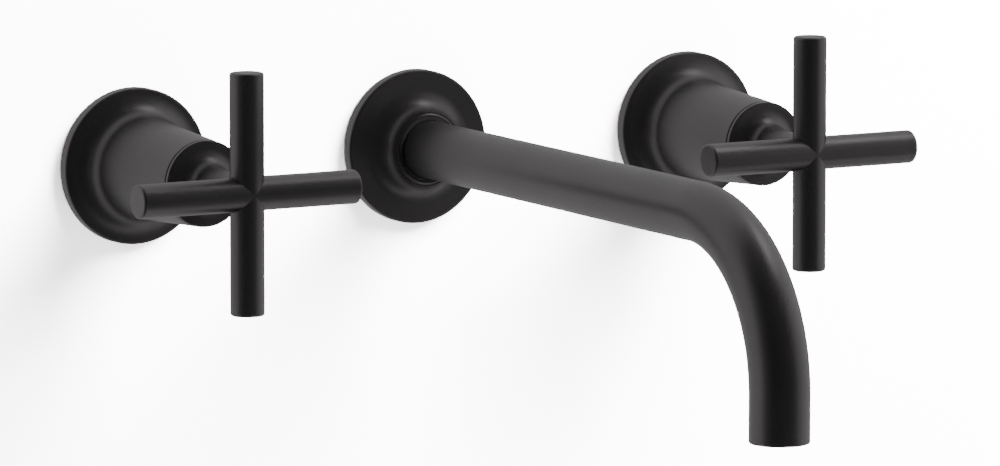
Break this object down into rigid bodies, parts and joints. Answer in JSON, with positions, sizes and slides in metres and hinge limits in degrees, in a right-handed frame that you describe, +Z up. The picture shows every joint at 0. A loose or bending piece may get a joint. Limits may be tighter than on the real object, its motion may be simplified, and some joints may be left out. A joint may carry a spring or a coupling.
{
  "type": "wall mounted bath faucet",
  "caption": "Wall mounted bath faucet with two turning cross handles, a long down-curved tube spout, round wall flanges and its rough-in valve.",
  "frame": {"origin": "where the spout axis meets the finished wall", "axes": "+Y into the wall, +Z up, +X to the right as seen from the room; the room is on the -Y side"},
  "size_m": [0.296, 0.3534, 0.1022],
  "materials": {
    "matte_black": "matte black electrophoretic or powder coat on brass",
    "machined_brass": "turned brass, fine tool marks",
    "cast_brass": "blasted cast brass",
    "copper_tube": "drawn copper, slightly dull",
    "steel": "zinc plated steel fasteners and clip",
    "zinc_plate": "galvanised steel strip",
    "ceramic": "lapped alumina ceramic",
    "nylon": "natural nylon",
    "acetal": "moulded acetal",
    "rubber": "black rubber seal",
    "foam": "closed cell foam gasket"
  },
  "bodies": {
    "faucet_body": {"aerator_housing": "matte_black", "aerator_insert": "acetal", "aerator_washer": "rubber", "cold_body_screw": "steel", "cold_bonnet_nut": "machined_brass", "cold_cartridge_o_ring": "rubber", "cold_cartridge_shell": "machined_brass", "cold_crossover_tube": "copper_tube", "cold_escutcheon": "matte_black", "cold_fixed_disc": "ceramic", "cold_handle_bushing": "nylon", "cold_mounting_sleeve": "machined_brass", "cold_seat_seal": "rubber", "cold_valve_body": "cast_brass", "cold_wall_gasket": "foam", "hot_body_screw": "steel", "hot_bonnet_nut": "machined_brass", "hot_cartridge_o_ring": "rubber", "hot_cartridge_shell": "machined_brass", "hot_crossover_tube": "copper_tube", "hot_escutcheon": "matte_black", "hot_fixed_disc": "ceramic", "hot_handle_bushing": "nylon", "hot_mounting_sleeve": "machined_brass", "hot_seat_seal": "rubber", "hot_valve_body": "cast_brass", "hot_wall_gasket": "foam", "mixing_tee": "cast_brass", "mounting_bracket": "zinc_plate", "spout_adapter": "machined_brass", "spout_flange": "matte_black", "spout_flange_ring": "rubber", "spout_o_ring_front": "rubber", "spout_o_ring_rear": "rubber", "spout_screw": "steel", "spout_tube": "matte_black", "spout_wall_gasket": "foam", "stud_screw_1": "steel", "stud_screw_2": "steel", "stud_screw_3": "steel", "stud_screw_4": "steel"},
    "hot_handle_set": {"hot_moving_disc": "ceramic", "hot_stem": "machined_brass", "hot_stem_o_ring": "rubber", "hot_stem_clip": "steel", "hot_stem_extension": "machined_brass", "hot_handle": "matte_black", "hot_handle_screw": "steel"},
    "cold_handle_set": {"cold_moving_disc": "ceramic", "cold_stem": "machined_brass", "cold_stem_o_ring": "rubber", "cold_stem_clip": "steel", "cold_stem_extension": "machined_brass", "cold_handle": "matte_black", "cold_handle_screw": "steel"}
  },
  "joints": [
    {"name": "hot_handle_turn", "type": "hinge", "parent": "faucet_body", "child": "hot_handle_set", "pos_m": [-0.1016, -0.0805, 0], "axis": [0, -1, 0], "range_deg": [0, 90]},
    {"name": "cold_handle_turn", "type": "hinge", "parent": "faucet_body", "child": "cold_handle_set", "pos_m": [0.1016, -0.0805, 0], "axis": [0, 1, 0], "range_deg": [0, 90]}
  ]
}
